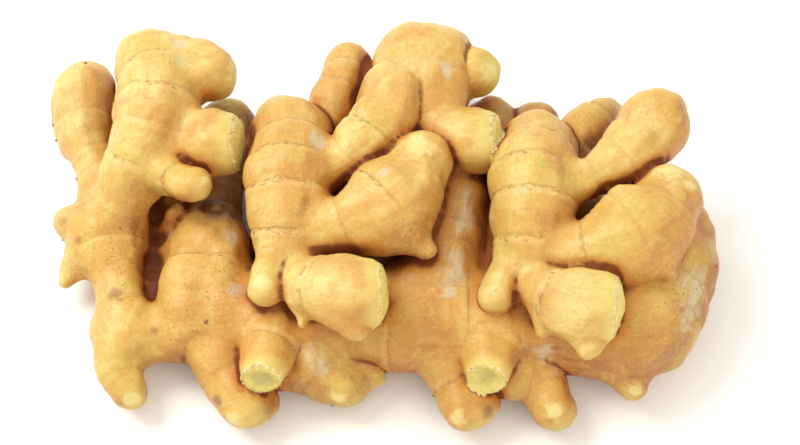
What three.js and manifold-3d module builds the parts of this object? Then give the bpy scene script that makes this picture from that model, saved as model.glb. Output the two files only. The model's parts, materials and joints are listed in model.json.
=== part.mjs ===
// Fresh ginger root: one whole hand, lying on its flattest side.
// Millimetres, +Z up, +X along the mother rhizome, +Y towards the back.
import * as THREE from 'three';
import { mergeVertices } from 'three/addons/utils/BufferGeometryUtils.js';
import Module from 'manifold-3d';

// Sizes of the whole root.
const motherLength = 154;
const motherStoutness = 1.0;
const fingerReach = 1.0;
const fingerStoutness = 1.0;
const scarDepth = 0.5;
const scarClearance = 4.5;
const breakBevel = 1.2;
const bluntReach = 0.25;
const restLevel = 1.2;

// How finely the skin is divided.
const stationGap = 14;
const spineSteps = 5;
const slimRadius = 6;
const stoutRadius = 9.5;

// The mother rhizome, which every finger grows from.
// heading: degrees from +X about +Z. rise: degrees above level. bow and dip: how far heading
// and rise turn between base and tip. girth: radii at even stations. scars: leaf rings, 0 to 1.
const mother = {
  name: 'mother', start: [-66, -24.5, 17], heading: -3, rise: -1, bow: 2, dip: 4,
  length: motherLength, girth: [15.5, 16.5, 18, 17.5, 21], scars: [0.22, 0.44, 0.62, 0.82], end: 'round',
};

// Fingers lying on the table. on and at: the finger it grows from, and how far along it.
const lowFingers = [
  { name: 'leftBody', on: 'mother', at: 0, heading: 76, rise: 5, bow: 16, dip: -9,
    length: 23, girth: [15, 17, 15.5], scars: [0.7], end: 'round' },
  { name: 'shadeBody', on: 'leftBody', at: 0.3, heading: 139, rise: -25, bow: -54, dip: 37,
    length: 43, girth: [8.5, 8.5, 8, 8], scars: [0.6], end: 'round' },
  { name: 'hollowBud', on: 'shadeBody', at: 0.75, heading: 36, rise: 65, bow: 40, dip: 6,
    length: 12, girth: [4.5, 5, 4], scars: [], end: 'round' },
  { name: 'backLeft', on: 'leftBody', at: 1, heading: 93, rise: -11, bow: -13, dip: 12,
    length: 58, girth: [11, 10.5, 10.5, 11], scars: [0.3, 0.6, 0.88], end: 'round' },
  { name: 'darkBud', on: 'backLeft', at: 0.35, heading: -80, rise: 22, bow: 1, dip: 66,
    length: 14, girth: [4.5, 5, 4], scars: [], end: 'round' },
  { name: 'saddle', on: 'mother', at: 0, heading: -125, rise: -10, bow: -88, dip: 12,
    length: 29, girth: [12, 11, 10.5], scars: [], end: 'round' },
  { name: 'lowerLeft', on: 'saddle', at: 1, heading: -113, rise: -1, bow: 55, dip: -5,
    length: 25, girth: [11.5, 9.5, 7.5], scars: [0.3, 0.8], end: 'round' },
  { name: 'shoulder', on: 'saddle', at: 1, heading: 106, rise: 1, bow: -10, dip: 4,
    length: 57, girth: [9.5, 10, 15, 10.5], scars: [0.55, 0.85], end: 'round' },
  { name: 'valley', on: 'saddle', at: 0.5, heading: 115, rise: -20, bow: -34, dip: 32,
    length: 57, girth: [8, 8.5, 8.5, 7.5], scars: [0.45, 0.75], end: 'round' },
  { name: 'ear', on: 'shoulder', at: 1, heading: 122, rise: 7, bow: -33, dip: -12,
    length: 46, girth: [8, 9.5, 11.5, 11], scars: [0.3, 0.62], end: 'round' },
  { name: 'knob', on: 'shoulder', at: 0.7, heading: 181, rise: 3, bow: -26, dip: -3,
    length: 15, girth: [7.5, 7, 6], scars: [], end: 'round' },
  { name: 'horn', on: 'shoulder', at: 0.65, heading: -148, rise: -6, bow: 31, dip: -9,
    length: 24, girth: [9, 7.5, 2.5], scars: [], end: 'round' },
  { name: 'underCrown', on: 'shoulder', at: 0.95, heading: 42, rise: -10, bow: 68, dip: 6,
    length: 50, girth: [9.5, 11, 11.5, 11.5], scars: [0.5, 0.8], end: 'round' },
  { name: 'leftFoot', on: 'mother', at: 0, heading: -72, rise: -12, bow: 16, dip: 12,
    length: 38, girth: [11.5, 11, 10, 8], scars: [0.7], end: 'round' },
  { name: 'shadeKnob', on: 'leftFoot', at: 0.65, heading: 0, rise: -20, bow: -80, dip: 24,
    length: 19, girth: [7, 6.5, 6], scars: [], end: 'round' },
  { name: 'stub', on: 'mother', at: 0.2, heading: -113, rise: 26, bow: 19, dip: -14,
    length: 33, girth: [12.5, 12, 9.5, 7.2], scars: [0.6], end: 'broken' },
  { name: 'midFoot', on: 'mother', at: 0.25, heading: -101, rise: -10, bow: 74, dip: 4,
    length: 31, girth: [12.5, 12.5, 11, 8], scars: [0.75], end: 'round' },
  { name: 'midFootSide', on: 'midFoot', at: 0.45, heading: 14, rise: -7, bow: -56, dip: -5,
    length: 20, girth: [10, 9, 7], scars: [], end: 'round' },
  { name: 'midFootHeel', on: 'midFoot', at: 0.35, heading: 198, rise: -14, bow: 40, dip: 3,
    length: 12, girth: [10.5, 10, 8.5], scars: [], end: 'round' },
  { name: 'underRibs', on: 'mother', at: 0.2, heading: 89, rise: -6, bow: 4, dip: 10,
    length: 66, girth: [12, 12.5, 12.5, 11.5], scars: [0.55, 0.8], end: 'round' },
  { name: 'midBody', on: 'mother', at: 0.5, heading: 62, rise: 16, bow: 32, dip: -19,
    length: 64, girth: [16.5, 16, 14, 11], scars: [0.55, 0.8], end: 'round' },
  { name: 'bridge', on: 'midBody', at: 0.6, heading: 158, rise: -38, bow: -1, dip: 53,
    length: 46, girth: [10, 10, 10, 9], scars: [0.5, 0.8], end: 'round' },
  { name: 'pad', on: 'midBody', at: 0.3, heading: 153, rise: -48, bow: 13, dip: 64,
    length: 32, girth: [9.5, 9.5, 9.5, 8], scars: [0.6], end: 'round' },
  { name: 'underTop', on: 'midBody', at: 1, heading: 114, rise: -40, bow: -22, dip: 50,
    length: 42, girth: [11, 11.5, 12.5, 13], scars: [0.5], end: 'round' },
  { name: 'rightFoot', on: 'mother', at: 0.55, heading: -88, rise: -10, bow: 32, dip: 6,
    length: 34, girth: [11.5, 11, 9.5, 8], scars: [0.75], end: 'round' },
  { name: 'shadeKnobRight', on: 'rightFoot', at: 0.5, heading: -14, rise: -25, bow: -66, dip: 30,
    length: 19, girth: [7, 6.5, 6], scars: [], end: 'round' },
  { name: 'stubRight', on: 'mother', at: 0.7, heading: -112, rise: 24, bow: 15, dip: -12,
    length: 30, girth: [12.5, 12, 9.5, 7.2], scars: [0.6], end: 'broken' },
  { name: 'heelRight', on: 'mother', at: 0.75, heading: -122, rise: -20, bow: 40, dip: 14,
    length: 18, girth: [12, 12, 11], scars: [], end: 'round' },
  { name: 'smallFoot', on: 'heelRight', at: 0.4, heading: -61, rise: -7, bow: -5, dip: -2,
    length: 27, girth: [10.5, 9, 7.5], scars: [0.7], end: 'round' },
  { name: 'lastNub', on: 'mother', at: 1, heading: -112, rise: -18, bow: 34, dip: 5,
    length: 22, girth: [14, 12, 6.5], scars: [], end: 'round' },
  { name: 'backRight', on: 'mother', at: 0.7, heading: 101, rise: 0, bow: -20, dip: -2,
    length: 83, girth: [12, 11.5, 11, 11], scars: [0.5, 0.7, 0.88], end: 'round' },
  { name: 'underRibsRight', on: 'mother', at: 0.8, heading: 101, rise: -8, bow: -26, dip: 11,
    length: 59, girth: [12, 12.5, 12.5, 12], scars: [0.6], end: 'round' },
  { name: 'backRidge', on: 'underRibsRight', at: 0.9, heading: 100, rise: 12, bow: -9, dip: -18,
    length: 30, girth: [9.5, 9.5, 9.5, 10], scars: [0.6], end: 'round' },
  { name: 'underBranch', on: 'mother', at: 0.95, heading: 79, rise: -11, bow: 4, dip: 5,
    length: 67, girth: [13, 13, 12.5, 10.5], scars: [0.5, 0.8], end: 'round' },
  { name: 'bridgeRight', on: 'underBranch', at: 0.6, heading: 126, rise: 26, bow: 47, dip: -34,
    length: 15, girth: [9.5, 9.5, 9.5], scars: [], end: 'round' },
  { name: 'rightFlank', on: 'mother', at: 1, heading: 46, rise: 9, bow: 36, dip: -12,
    length: 35, girth: [17.5, 18.5, 19, 16.5], scars: [0.5], end: 'round' },
  { name: 'padRight', on: 'rightFlank', at: 0.3, heading: 124, rise: -73, bow: 42, dip: 92,
    length: 20, girth: [9.5, 9.5, 8.5], scars: [], end: 'round' },
];

// Fingers that climb over the low ones.
const highFingers = [
  { name: 'crown', on: 'shoulder', at: 0.75, heading: 33, rise: 63, bow: 73, dip: -82,
    length: 68, girth: [9.5, 12, 15.5, 15], scars: [0.4, 0.58, 0.74, 0.9], end: 'round' },
  { name: 'crownRight', on: 'crown', at: 0.95, heading: 23, rise: 14, bow: -55, dip: -9,
    length: 21, girth: [11, 11, 10], scars: [0.6], end: 'round' },
  { name: 'crownBall', on: 'crown', at: 0.65, heading: -40, rise: -3, bow: 40, dip: 11,
    length: 33, girth: [7, 8, 12, 10.5], scars: [0.4], end: 'blunt' },
  { name: 'crownFinger', on: 'crown', at: 0.45, heading: -53, rise: 6, bow: 23, dip: 14,
    length: 27, girth: [7, 7.5, 7, 6], scars: [0.7], end: 'round' },
  { name: 'ribs', on: 'mother', at: 0.2, heading: 86, rise: 65, bow: 6, dip: -97,
    length: 75, girth: [9, 12, 15.5, 14.5], scars: [0.42, 0.6, 0.74, 0.87], end: 'round' },
  { name: 'ribsTip', on: 'ribs', at: 0.35, heading: -118, rise: 37, bow: 13, dip: -56,
    length: 20, girth: [7, 6.5, 7.3], scars: [], end: 'round' },
  { name: 'ball', on: 'ribs', at: 0.25, heading: -67, rise: 43, bow: 73, dip: -45,
    length: 44, girth: [8, 9.5, 13.5, 11.5], scars: [0.5], end: 'blunt' },
  { name: 'ballHorn', on: 'ball', at: 0.35, heading: -105, rise: -4, bow: 20, dip: -18,
    length: 15, girth: [6, 4.5, 2], scars: [], end: 'round' },
  { name: 'ballNub', on: 'ball', at: 0.75, heading: -92, rise: -10, bow: 30, dip: -6,
    length: 13, girth: [8, 7, 5], scars: [], end: 'round' },
  { name: 'branch', on: 'ribs', at: 0.4, heading: -15, rise: 19, bow: 88, dip: -27,
    length: 59, girth: [7.5, 11, 16.5, 11.5], scars: [0.35, 0.62, 0.88], end: 'round' },
  { name: 'branchNub', on: 'branch', at: 0.65, heading: -60, rise: 5, bow: 18, dip: -24,
    length: 21, girth: [11.5, 11.5, 4.5], scars: [], end: 'round' },
  { name: 'topFinger', on: 'ribs', at: 0.65, heading: 10, rise: 9, bow: 71, dip: -15,
    length: 55, girth: [6.5, 7.5, 11.5, 12.5], scars: [0.4, 0.62, 0.82], end: 'round' },
  { name: 'backTop', on: 'underRibs', at: 0.95, heading: 25, rise: 61, bow: 64, dip: -95,
    length: 52, girth: [8, 8.5, 9.5, 10], scars: [0.5, 0.7, 0.88], end: 'round' },
  { name: 'topCrown', on: 'midBody', at: 0.85, heading: 106, rise: 44, bow: 4, dip: -63,
    length: 48, girth: [10, 12, 15, 17], scars: [0.5, 0.8], end: 'round' },
  { name: 'topCrownEnd', on: 'topCrown', at: 0.85, heading: 47, rise: 4, bow: 21, dip: -5,
    length: 10, girth: [16, 16, 15.5], scars: [], end: 'round' },
  { name: 'topRight', on: 'topCrown', at: 0.9, heading: 39, rise: 7, bow: -70, dip: 1,
    length: 22, girth: [10.5, 11, 9], scars: [0.6], end: 'round' },
  { name: 'topBall', on: 'topCrown', at: 0.5, heading: -66, rise: 23, bow: 69, dip: -17,
    length: 27, girth: [7.5, 9, 11.8, 10.3], scars: [0.4], end: 'blunt' },
  { name: 'ribsRight', on: 'mother', at: 0.75, heading: 90, rise: 69, bow: -9, dip: -108,
    length: 74, girth: [9, 12, 15.5, 14], scars: [0.42, 0.6, 0.74, 0.87], end: 'round' },
  { name: 'ribsTipRight', on: 'ribsRight', at: 0.35, heading: -150, rise: 21, bow: 49, dip: -40,
    length: 20, girth: [7, 6.3, 7], scars: [], end: 'round' },
  { name: 'ballRight', on: 'ribsRight', at: 0.25, heading: -77, rise: 40, bow: 80, dip: -40,
    length: 40, girth: [8.5, 9.5, 13, 11.5], scars: [0.5], end: 'blunt' },
  { name: 'ballHornRight', on: 'ballRight', at: 0.35, heading: -105, rise: -2, bow: 16, dip: -20,
    length: 15, girth: [6, 4.5, 2], scars: [], end: 'round' },
  { name: 'ballNubRight', on: 'ballRight', at: 0.75, heading: -98, rise: -6, bow: 30, dip: -14,
    length: 14, girth: [8, 7, 5], scars: [], end: 'round' },
  { name: 'branchRight', on: 'ribsRight', at: 0.35, heading: -24, rise: 21, bow: 89, dip: -26,
    length: 59, girth: [8.5, 11, 17.5, 11.5], scars: [0.35, 0.62, 0.88], end: 'round' },
  { name: 'branchNubRight', on: 'branchRight', at: 0.65, heading: -72, rise: -6, bow: 41, dip: -14,
    length: 17, girth: [12, 11, 4.5], scars: [], end: 'round' },
  { name: 'topFingerRight', on: 'ribsRight', at: 0.65, heading: 2, rise: 9, bow: 58, dip: -14,
    length: 55, girth: [6.5, 7, 10.5, 13], scars: [0.4, 0.62, 0.82], end: 'round' },
  { name: 'backTopRight', on: 'underRibsRight', at: 1, heading: 50, rise: 70, bow: -4, dip: -110,
    length: 41, girth: [9, 9, 9, 6.5], scars: [0.5, 0.8], end: 'round' },
];

const wasm = await Module();
wasm.setup();

function radians(degrees) {
  return THREE.MathUtils.degToRad(degrees);
}

// Centre line of a finger: short steps whose direction turns evenly from base to tip.
function growSpine(finger, start, length) {
  const points = [start.clone()];
  const step = length / spineSteps;
  for (let k = 0; k < spineSteps; k += 1) {
    const along = (k + 0.5) / spineSteps;
    const heading = radians(finger.heading + finger.bow * along);
    const rise = radians(finger.rise + finger.dip * along);
    const next = points[k].clone();
    next.x += step * Math.cos(rise) * Math.cos(heading);
    next.y += step * Math.cos(rise) * Math.sin(heading);
    next.z += step * Math.sin(rise);
    points.push(next);
  }
  return new THREE.CatmullRomCurve3(points);
}

// Smooth radius along a finger, 0 at the base and 1 at the tip.
function radiusCurve(finger, stoutness) {
  const last = finger.girth.length - 1;
  return new THREE.SplineCurve(
    finger.girth.map((radius, k) => new THREE.Vector2(k / last, radius * stoutness)),
  );
}

// Distances from the base where the skin gets a ring of corners: even ones, and one in each scar.
function stationsFor(finger, length) {
  const scars = finger.scars.map((share) => share * length);
  const count = Math.max(2, Math.round(length / stationGap));
  const stations = scars.map((along) => ({ along, inset: scarDepth }));
  for (let k = 0; k <= count; k += 1) {
    const along = (k / count) * length;
    const clear = scars.every((scar) => Math.abs(scar - along) > scarClearance);
    if (clear || k === 0 || k === count) {
      stations.push({ along, inset: 0 });
    }
  }
  return stations.sort((a, b) => a.along - b.along);
}

// Half outline of a finger, from its buried base on the axis to its tip on the axis.
function outline(finger, length, radii) {
  const base = radii.getPoint(0).y;
  const tip = radii.getPoint(1).y;
  const points = [new THREE.Vector2(0, -0.8 * base)];
  stationsFor(finger, length).forEach(({ along, inset }) => {
    points.push(new THREE.Vector2(radii.getPoint(along / length).y - inset, along));
  });
  if (finger.end === 'broken') {
    points[points.length - 1].y = length - breakBevel;
    points.push(new THREE.Vector2(tip - breakBevel, length));
    points.push(new THREE.Vector2(0, length));
    return points;
  }
  if (finger.end === 'blunt') {
    const dome = bluntReach * tip;
    points.push(new THREE.Vector2(0.93 * tip, length + 0.45 * dome));
    points.push(new THREE.Vector2(0.62 * tip, length + 0.9 * dome));
    points.push(new THREE.Vector2(0, length + dome));
    return points;
  }
  const bends = tip > slimRadius ? [28, 58] : [38];
  bends.forEach((angle) => {
    const lean = radians(angle);
    points.push(new THREE.Vector2(tip * Math.cos(lean), length + tip * Math.sin(lean)));
  });
  points.push(new THREE.Vector2(0, length + tip));
  return points;
}

function sidesFor(radius) {
  if (radius <= slimRadius) {
    return 8;
  }
  return radius <= stoutRadius ? 9 : 12;
}

// Turns the outline into a solid of revolution, then lays it along the spine.
function skinFinger(finger, curve, length, stoutness) {
  const radii = radiusCurve(finger, stoutness);
  const widest = Math.max(...finger.girth) * stoutness;
  const lathe = new THREE.LatheGeometry(outline(finger, length, radii), sidesFor(widest));
  const divisions = 60;
  const frames = curve.computeFrenetFrames(divisions, false);
  const place = lathe.attributes.position;
  const corner = new THREE.Vector3();
  for (let i = 0; i < place.count; i += 1) {
    corner.fromBufferAttribute(place, i);
    const share = THREE.MathUtils.clamp(corner.y / length, 0, 1);
    const over = corner.y - share * length;
    const k = Math.round(share * divisions);
    const point = curve.getPointAt(share);
    point.addScaledVector(frames.normals[k], corner.x);
    point.addScaledVector(frames.binormals[k], -corner.z);
    point.addScaledVector(frames.tangents[k], over);
    place.setXYZ(i, point.x, point.y, point.z);
  }
  return lathe;
}

// Closed three.js geometry to a manifold solid.
function toSolid(geometry) {
  const bare = new THREE.BufferGeometry();
  bare.setAttribute('position', geometry.attributes.position);
  bare.setIndex(geometry.index);
  const merged = mergeVertices(bare, 1e-4);
  const kept = [];
  const index = merged.index.array;
  for (let t = 0; t < index.length; t += 3) {
    const [a, b, c] = [index[t], index[t + 1], index[t + 2]];
    if (a !== b && b !== c && c !== a) {
      kept.push(a, b, c);
    }
  }
  return new wasm.Manifold(new wasm.Mesh({
    numProp: 3,
    vertProperties: new Float32Array(merged.attributes.position.array),
    triVerts: new Uint32Array(kept),
  }));
}

// Manifold solid back to three.js geometry.
function toGeometry(solid) {
  const mesh = solid.getMesh();
  const geometry = new THREE.BufferGeometry();
  geometry.setAttribute('position', new THREE.BufferAttribute(new Float32Array(mesh.vertProperties), 3));
  geometry.setIndex(new THREE.BufferAttribute(new Uint32Array(mesh.triVerts), 1));
  geometry.computeVertexNormals();
  return geometry;
}

// Grows every finger from the one it sits on and joins them into one body.
function growRoot() {
  const spines = {};
  spines.mother = growSpine(mother, new THREE.Vector3(...mother.start), mother.length);
  let root = toSolid(skinFinger(mother, spines.mother, mother.length, motherStoutness));
  [...lowFingers, ...highFingers].forEach((finger) => {
    const start = spines[finger.on].getPointAt(finger.at);
    const length = finger.length * fingerReach;
    spines[finger.name] = growSpine(finger, start, length);
    root = root.add(toSolid(skinFinger(finger, spines[finger.name], length, fingerStoutness)));
  });
  return root;
}

// Takes the underside off level, so the root has real flats to rest on.
function levelUnderside(root) {
  const slab = new THREE.BoxGeometry(600, 600, 100);
  slab.translate(0, 0, restLevel - 50);
  return root.subtract(toSolid(slab));
}

// Moves the body so that its box stands centred on the origin with its foot at height 0.
function standOnOrigin(geometry) {
  geometry.computeBoundingBox();
  const box = geometry.boundingBox;
  const middle = box.getCenter(new THREE.Vector3());
  geometry.translate(-middle.x, -middle.y, -box.min.z);
  return geometry;
}

const skin = new THREE.MeshStandardMaterial({ color: '#dba45c', roughness: 0.5, metalness: 0 });
const rhizome = new THREE.Mesh(standOnOrigin(toGeometry(levelUnderside(growRoot()))), skin);
rhizome.name = 'ginger_root';

const group = new THREE.Group();
group.name = 'ginger_root_part';
group.add(rhizome);

export default group;
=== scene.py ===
import json
import math
import bpy
import bmesh
import numpy as np
import openvdb
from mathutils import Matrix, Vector

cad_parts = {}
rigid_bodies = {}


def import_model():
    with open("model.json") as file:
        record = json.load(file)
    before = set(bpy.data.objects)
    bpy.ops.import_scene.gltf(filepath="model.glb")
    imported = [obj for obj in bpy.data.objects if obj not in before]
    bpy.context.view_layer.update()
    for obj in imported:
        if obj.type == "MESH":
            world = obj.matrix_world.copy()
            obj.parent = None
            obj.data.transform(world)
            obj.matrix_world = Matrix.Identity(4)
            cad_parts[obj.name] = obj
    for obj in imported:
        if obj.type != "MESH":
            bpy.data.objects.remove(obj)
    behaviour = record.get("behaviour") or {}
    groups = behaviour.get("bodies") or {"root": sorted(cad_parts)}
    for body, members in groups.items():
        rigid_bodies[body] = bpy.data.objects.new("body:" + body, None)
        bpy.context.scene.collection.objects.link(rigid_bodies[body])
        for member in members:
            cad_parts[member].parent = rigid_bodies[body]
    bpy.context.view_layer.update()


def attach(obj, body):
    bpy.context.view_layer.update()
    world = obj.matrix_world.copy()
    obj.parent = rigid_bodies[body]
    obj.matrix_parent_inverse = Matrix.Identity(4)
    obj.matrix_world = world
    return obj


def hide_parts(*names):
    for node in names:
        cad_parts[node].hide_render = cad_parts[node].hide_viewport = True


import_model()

# Fingers grow one from another. Lengths and radii in mm, angles in degrees.
# Each row: name, parent, where on it, heading, rise, bow, dip, length, girth, leaf scars.
gingerRoot = {
    "shift": (3.3265, -8.3328, -1.2),
    "restLevel": 1.2, "restRounding": 0.6,
    "cell": 1.3, "emptyDistance": 12.0, "boxMargin": 2.0, "markMargin": 7.0,
    "mother": ("mother", None, (-66, -24.5, 17), -3, -1, 2, 4, 154, [15.5, 16.5, 18, 17.5, 21],
               [0.22, 0.44, 0.62, 0.82]),
    "fingers": [
        ("leftBody", "mother", 0, 76, 5, 16, -9, 23, [15, 17, 15.5], [0.7]),
        ("shadeBody", "leftBody", 0.3, 139, -25, -54, 37, 43, [8.5, 8.5, 8, 8], [0.6]),
        ("hollowBud", "shadeBody", 0.75, 36, 65, 40, 6, 12, [4.5, 5, 4], []),
        ("backLeft", "leftBody", 1, 93, -11, -13, 12, 58, [11, 10.5, 10.5, 11], [0.3, 0.6, 0.88]),
        ("darkBud", "backLeft", 0.35, -80, 22, 1, 66, 14, [4.5, 5, 4], []),
        ("saddle", "mother", 0, -125, -10, -88, 12, 29, [12, 11, 10.5], []),
        ("lowerLeft", "saddle", 1, -113, -1, 55, -5, 25, [11.5, 9.5, 7.5], [0.3, 0.8]),
        ("shoulder", "saddle", 1, 106, 1, -10, 4, 57, [9.5, 10, 15, 10.5], [0.55, 0.85]),
        ("valley", "saddle", 0.5, 115, -20, -34, 32, 57, [8, 8.5, 8.5, 7.5], [0.45, 0.75]),
        ("ear", "shoulder", 1, 122, 7, -33, -12, 46, [8, 9.5, 11.5, 11], [0.3, 0.62]),
        ("knob", "shoulder", 0.7, 181, 3, -26, -3, 15, [7.5, 7, 6], []),
        ("horn", "shoulder", 0.65, -148, -6, 31, -9, 24, [9, 7.5, 2.5], []),
        ("underCrown", "shoulder", 0.95, 42, -10, 68, 6, 50, [9.5, 11, 11.5, 11.5], [0.5, 0.8]),
        ("leftFoot", "mother", 0, -72, -12, 16, 12, 38, [11.5, 11, 10, 8], [0.7]),
        ("shadeKnob", "leftFoot", 0.65, 0, -20, -80, 24, 19, [7, 6.5, 6], []),
        ("stub", "mother", 0.2, -113, 26, 19, -14, 33, [12.5, 12, 9.5, 7.2], [0.6]),
        ("midFoot", "mother", 0.25, -101, -10, 74, 4, 31, [12.5, 12.5, 11, 8], [0.75]),
        ("midFootSide", "midFoot", 0.45, 14, -7, -56, -5, 20, [10, 9, 7], []),
        ("midFootHeel", "midFoot", 0.35, 198, -14, 40, 3, 12, [10.5, 10, 8.5], []),
        ("underRibs", "mother", 0.2, 89, -6, 4, 10, 66, [12, 12.5, 12.5, 11.5], [0.55, 0.8]),
        ("midBody", "mother", 0.5, 62, 16, 32, -19, 64, [16.5, 16, 14, 11], [0.55, 0.8]),
        ("bridge", "midBody", 0.6, 158, -38, -1, 53, 46, [10, 10, 10, 9], [0.5, 0.8]),
        ("pad", "midBody", 0.3, 153, -48, 13, 64, 32, [9.5, 9.5, 9.5, 8], [0.6]),
        ("underTop", "midBody", 1, 114, -40, -22, 50, 42, [11, 11.5, 12.5, 13], [0.5]),
        ("rightFoot", "mother", 0.55, -88, -10, 32, 6, 34, [11.5, 11, 9.5, 8], [0.75]),
        ("shadeKnobRight", "rightFoot", 0.5, -14, -25, -66, 30, 19, [7, 6.5, 6], []),
        ("stubRight", "mother", 0.7, -112, 24, 15, -12, 30, [12.5, 12, 9.5, 7.2], [0.6]),
        ("heelRight", "mother", 0.75, -122, -20, 40, 14, 18, [12, 12, 11], []),
        ("smallFoot", "heelRight", 0.4, -61, -7, -5, -2, 27, [10.5, 9, 7.5], [0.7]),
        ("lastNub", "mother", 1, -112, -18, 34, 5, 22, [14, 12, 6.5], []),
        ("backRight", "mother", 0.7, 101, 0, -20, -2, 83, [12, 11.5, 11, 11], [0.5, 0.7, 0.88]),
        ("underRibsRight", "mother", 0.8, 101, -8, -26, 11, 59, [12, 12.5, 12.5, 12], [0.6]),
        ("backRidge", "underRibsRight", 0.9, 100, 12, -9, -18, 30, [9.5, 9.5, 9.5, 10], [0.6]),
        ("underBranch", "mother", 0.95, 79, -11, 4, 5, 67, [13, 13, 12.5, 10.5], [0.5, 0.8]),
        ("bridgeRight", "underBranch", 0.6, 126, 26, 47, -34, 15, [9.5, 9.5, 9.5], []),
        ("rightFlank", "mother", 1, 46, 9, 36, -12, 35, [17.5, 18.5, 19, 16.5], [0.5]),
        ("padRight", "rightFlank", 0.3, 124, -73, 42, 92, 20, [9.5, 9.5, 8.5], []),
        ("crown", "shoulder", 0.75, 33, 63, 73, -82, 68, [9.5, 12, 15.5, 15], [0.4, 0.58, 0.74, 0.9]),
        ("crownRight", "crown", 0.95, 23, 14, -55, -9, 21, [11, 11, 10], [0.6]),
        ("crownBall", "crown", 0.65, -40, -3, 40, 11, 33, [7, 8, 12, 10.5], [0.4]),
        ("crownFinger", "crown", 0.45, -53, 6, 23, 14, 27, [7, 7.5, 7, 6], [0.7]),
        ("ribs", "mother", 0.2, 86, 65, 6, -97, 75, [9, 12, 15.5, 14.5], [0.42, 0.6, 0.74, 0.87]),
        ("ribsTip", "ribs", 0.35, -118, 37, 13, -56, 20, [7, 6.5, 7.3], []),
        ("ball", "ribs", 0.25, -67, 43, 73, -45, 44, [8, 9.5, 13.5, 11.5], [0.5]),
        ("ballHorn", "ball", 0.35, -105, -4, 20, -18, 15, [6, 4.5, 2], []),
        ("ballNub", "ball", 0.75, -92, -10, 30, -6, 13, [8, 7, 5], []),
        ("branch", "ribs", 0.4, -15, 19, 88, -27, 59, [7.5, 11, 16.5, 11.5], [0.35, 0.62, 0.88]),
        ("branchNub", "branch", 0.65, -60, 5, 18, -24, 21, [11.5, 11.5, 4.5], []),
        ("topFinger", "ribs", 0.65, 10, 9, 71, -15, 55, [6.5, 7.5, 11.5, 12.5], [0.4, 0.62, 0.82]),
        ("backTop", "underRibs", 0.95, 25, 61, 64, -95, 52, [8, 8.5, 9.5, 10], [0.5, 0.7, 0.88]),
        ("topCrown", "midBody", 0.85, 106, 44, 4, -63, 48, [10, 12, 15, 17], [0.5, 0.8]),
        ("topCrownEnd", "topCrown", 0.85, 47, 4, 21, -5, 10, [16, 16, 15.5], []),
        ("topRight", "topCrown", 0.9, 39, 7, -70, 1, 22, [10.5, 11, 9], [0.6]),
        ("topBall", "topCrown", 0.5, -66, 23, 69, -17, 27, [7.5, 9, 11.8, 10.3], [0.4]),
        ("ribsRight", "mother", 0.75, 90, 69, -9, -108, 74, [9, 12, 15.5, 14], [0.42, 0.6, 0.74, 0.87]),
        ("ribsTipRight", "ribsRight", 0.35, -150, 21, 49, -40, 20, [7, 6.3, 7], []),
        ("ballRight", "ribsRight", 0.25, -77, 40, 80, -40, 40, [8.5, 9.5, 13, 11.5], [0.5]),
        ("ballHornRight", "ballRight", 0.35, -105, -2, 16, -20, 15, [6, 4.5, 2], []),
        ("ballNubRight", "ballRight", 0.75, -98, -6, 30, -14, 14, [8, 7, 5], []),
        ("branchRight", "ribsRight", 0.35, -24, 21, 89, -26, 59, [8.5, 11, 17.5, 11.5], [0.35, 0.62, 0.88]),
        ("branchNubRight", "branchRight", 0.65, -72, -6, 41, -14, 17, [12, 11, 4.5], []),
        ("topFingerRight", "ribsRight", 0.65, 2, 9, 58, -14, 55, [6.5, 7, 10.5, 13], [0.4, 0.62, 0.82]),
        ("backTopRight", "underRibsRight", 1, 50, 70, -4, -110, 41, [9, 9, 9, 6.5], [0.5, 0.8]),
    ],
    # snapped ends: how far the flesh domes out (+) or dishes in (-), and how round its edge is
    "snapped": {"stub": (-2.0, 0.8), "stubRight": (-2.0, 0.8), "ball": (2.9, 3.2), "ballRight": (2.9, 3.2),
                "crownBall": (2.7, 3.0), "topBall": (2.7, 3.0)},
    # fingers that flow into each other without a painted dark crease of shade
    "merged": ["mother", "saddle", "shoulder", "lowerLeft", "leftBody"],
    "shadeReach": [2.5, 5.0, 9.0], "slitTurns": 5, "pinchTurns": 3,
    "blendShare": 0.4,
    "scarDepth": 0.32, "scarWidth": 0.8, "sheathLip": 0.3, "belly": 0.035,
    # bumps in the skin: height, size and seed
    "lumps": (1.2, 16.0, 5), "knolls": (0.85, 8.0, 13), "dimples": (0.3, 4.2, 8),
    "furrowHeight": 0.4, "furrowSeed": 21, "furrowStretch": (45.0, 210.0, 210.0),
    "tornFlesh": [(0.35, 3.2, 31), (0.2, 1.6, 57)],
}
# How light (+) or brown (-) each finger's skin is; values of -1.5 and below are painted shade, turning
# fingers that lie low in the shadow of others to the dark shade colours. A right twin that is not named takes
# its partner's.
skinToneAndShade = {
    "other": -0.3, "mother": -0.35, "leftBody": 0.0, "shadeBody": -2.0, "backLeft": -1.5, "saddle": 0.2,
    "lowerLeft": 0.1, "shoulder": 0.0, "ear": 0.35, "knob": 0.4, "horn": 0.4, "leftFoot": -0.2,
    "shadeKnob": -0.4, "stub": -0.05, "midFoot": -0.45, "midFootSide": -0.5, "midBody": -0.4,
    "rightFoot": -0.2, "heelRight": -0.35, "smallFoot": -0.45,
    "backRight": -1.6, "backRidge": -0.8, "crown": 0.3, "crownBall": 0.35,
    "crownFinger": 0.1, "ribs": 0.05, "ribsTip": 0.25, "ball": 0.45, "ballHorn": 0.5, "ballNub": 0.3,
    "ballNubRight": 0.35, "branch": 0.15, "branchRight": 0.1, "branchNub": -0.15, "topFinger": 0.25,
    "backTop": 0.0, "backTopRight": -0.2, "topCrown": 0.2, "topCrownEnd": 0.2, "topRight": 0.25,
    "topBall": 0.35, "valley": -3.1, "bridge": -1.9, "pad": -2.0, "hollowBud": -0.6, "darkBud": -2.0,
}


def toneOf(name):
    for known in (name, name.removesuffix("Right"), "other"):
        if known in skinToneAndShade:
            return skinToneAndShade[known]


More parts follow.
